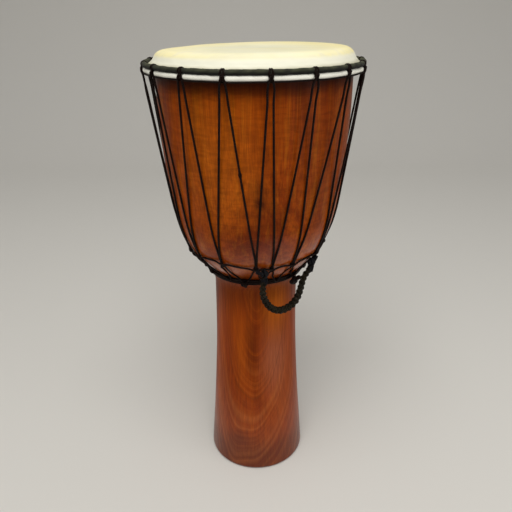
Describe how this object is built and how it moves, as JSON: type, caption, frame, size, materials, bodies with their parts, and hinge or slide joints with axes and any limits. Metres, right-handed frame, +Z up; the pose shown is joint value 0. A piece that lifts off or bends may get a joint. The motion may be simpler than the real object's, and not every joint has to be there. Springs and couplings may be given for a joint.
{
  "type": "djembe",
  "caption": "Goblet-shaped wooden hand drum with a rope-tensioned hide head, black lacing and a braided rope carrying handle that swings on its lashings.",
  "frame": {"origin": "on the floor at the centre of the foot", "axes": "+Z up along the drum's axis, -Y towards the side that the carrying handle hangs on"},
  "size_m": [0.2727, 0.2732, 0.6],
  "materials": {
    "varnished_wood": "glossy clear varnish over red-brown wood",
    "hide": "dry pale goat hide",
    "black_cloth": "black cloth wrap",
    "black_rope": "black polyester rope, slight sheen",
    "braid": "dark braided rope",
    "steel_rod": "bare steel rod"
  },
  "bodies": {
    "drum": {"shell": "varnished_wood", "drum_skin": "hide", "flesh_ring": "steel_rod", "under_ring": "black_cloth", "crown_ring": "steel_rod", "crown_wrap": "black_cloth", "crown_loop_01": "black_rope", "crown_loop_02": "black_rope", "crown_loop_03": "black_rope", "crown_loop_04": "black_rope", "crown_loop_05": "black_rope", "crown_loop_06": "black_rope", "crown_loop_07": "black_rope", "crown_loop_08": "black_rope", "crown_loop_09": "black_rope", "crown_loop_10": "black_rope", "crown_loop_11": "black_rope", "crown_loop_12": "black_rope", "crown_loop_13": "black_rope", "crown_loop_14": "black_rope", "crown_loop_15": "black_rope", "crown_loop_16": "black_rope", "crown_loop_17": "black_rope", "tuning_rope": "black_rope", "cradle_loop_01": "black_rope", "cradle_loop_02": "black_rope", "cradle_loop_03": "black_rope", "cradle_loop_04": "black_rope", "cradle_loop_05": "black_rope", "cradle_loop_06": "black_rope", "cradle_loop_07": "black_rope", "cradle_loop_08": "black_rope", "cradle_loop_09": "black_rope", "cradle_loop_10": "black_rope", "cradle_loop_11": "black_rope", "cradle_loop_12": "black_rope", "cradle_loop_13": "black_rope", "cradle_loop_14": "black_rope", "cradle_loop_15": "black_rope", "cradle_loop_16": "black_rope", "cradle_loop_17": "black_rope", "neck_band": "black_rope", "girdle_cord": "black_rope", "handle_lashing_left": "black_rope", "handle_lashing_right": "black_rope", "tail_knot_front": "black_rope", "tail_knot_right": "black_rope"},
    "carry_handle": {"carry_handle": "braid", "handle_eye_left": "braid", "handle_eye_right": "braid"}
  },
  "joints": [
    {"name": "handle_swing", "type": "hinge", "parent": "drum", "child": "carry_handle", "pos_m": [0.01074, -0.09126, 0.34257], "axis": [-0.8735, -0.4867, 0], "range_deg": [-10, 120]}
  ]
}
